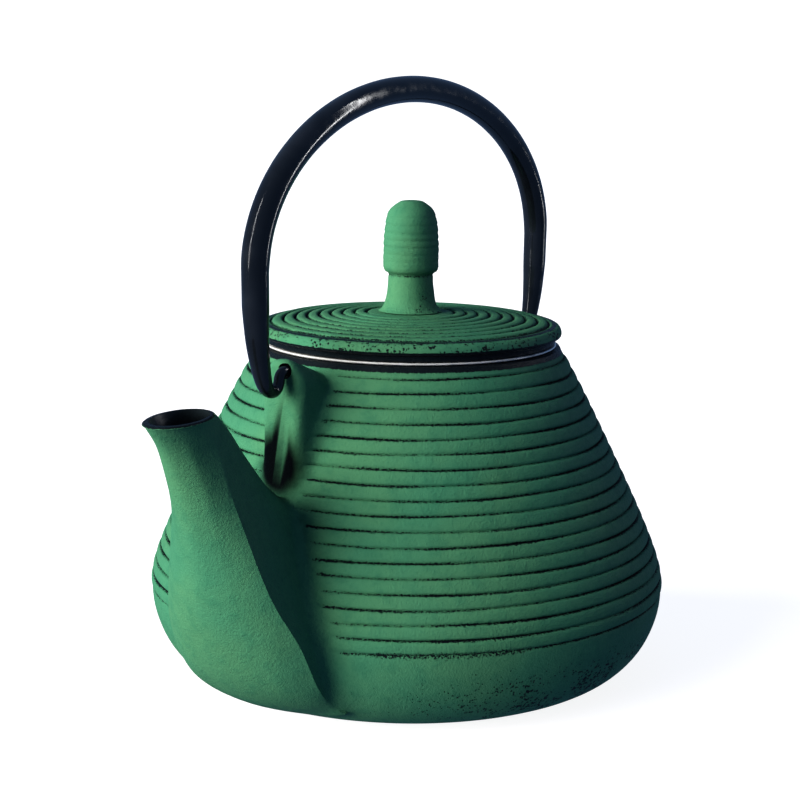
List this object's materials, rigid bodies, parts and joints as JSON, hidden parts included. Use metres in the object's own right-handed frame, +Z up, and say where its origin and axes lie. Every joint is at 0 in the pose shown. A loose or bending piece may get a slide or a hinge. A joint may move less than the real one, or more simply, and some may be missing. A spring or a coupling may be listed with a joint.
{
  "type": "cast iron teapot",
  "caption": "Conical green cast-iron teapot with horizontal ribs, short upward spout, domed lift-off lid with tall knob, black swinging bail handle and drop-in steel infuser.",
  "frame": {"origin": "centre of the flat base, on the pot's axis", "axes": "+Z up; the spout points along -X; the bail swings about an axis along X"},
  "size_m": [0.2104, 0.166, 0.1919],
  "materials": {
    "green_iron": "matte green paint over a black base coat, fine sandy grain, black showing in the grooves and at the edges",
    "black_enamel": "gloss black enamel",
    "stainless_steel": "polished stainless steel",
    "steel_mesh": "fine woven stainless mesh"
  },
  "bodies": {
    "pot": {"pot_body": "green_iron"},
    "handle": {"bail_handle": "black_enamel"},
    "infuser": {"infuser_collar": "stainless_steel", "infuser_wall": "steel_mesh", "infuser_base_ring": "stainless_steel", "infuser_floor": "steel_mesh"},
    "lid": {"lid": "green_iron", "lid_knob": "green_iron", "knob_screw": "stainless_steel", "knob_washer": "stainless_steel"}
  },
  "joints": [
    {"name": "handle_swing", "type": "hinge", "parent": "pot", "child": "handle", "pos_m": [0, 0, 0.1067], "axis": [1, 0, 0], "range_deg": [-115, 115]},
    {"name": "infuser_lift", "type": "slide", "parent": "pot", "child": "infuser", "axis": [0, 0, 1], "range_m": [0, 0.027]},
    {"name": "lid_lift", "type": "slide", "parent": "infuser", "child": "lid", "axis": [0, 0, 1], "range_m": [0, 0.027]}
  ]
}
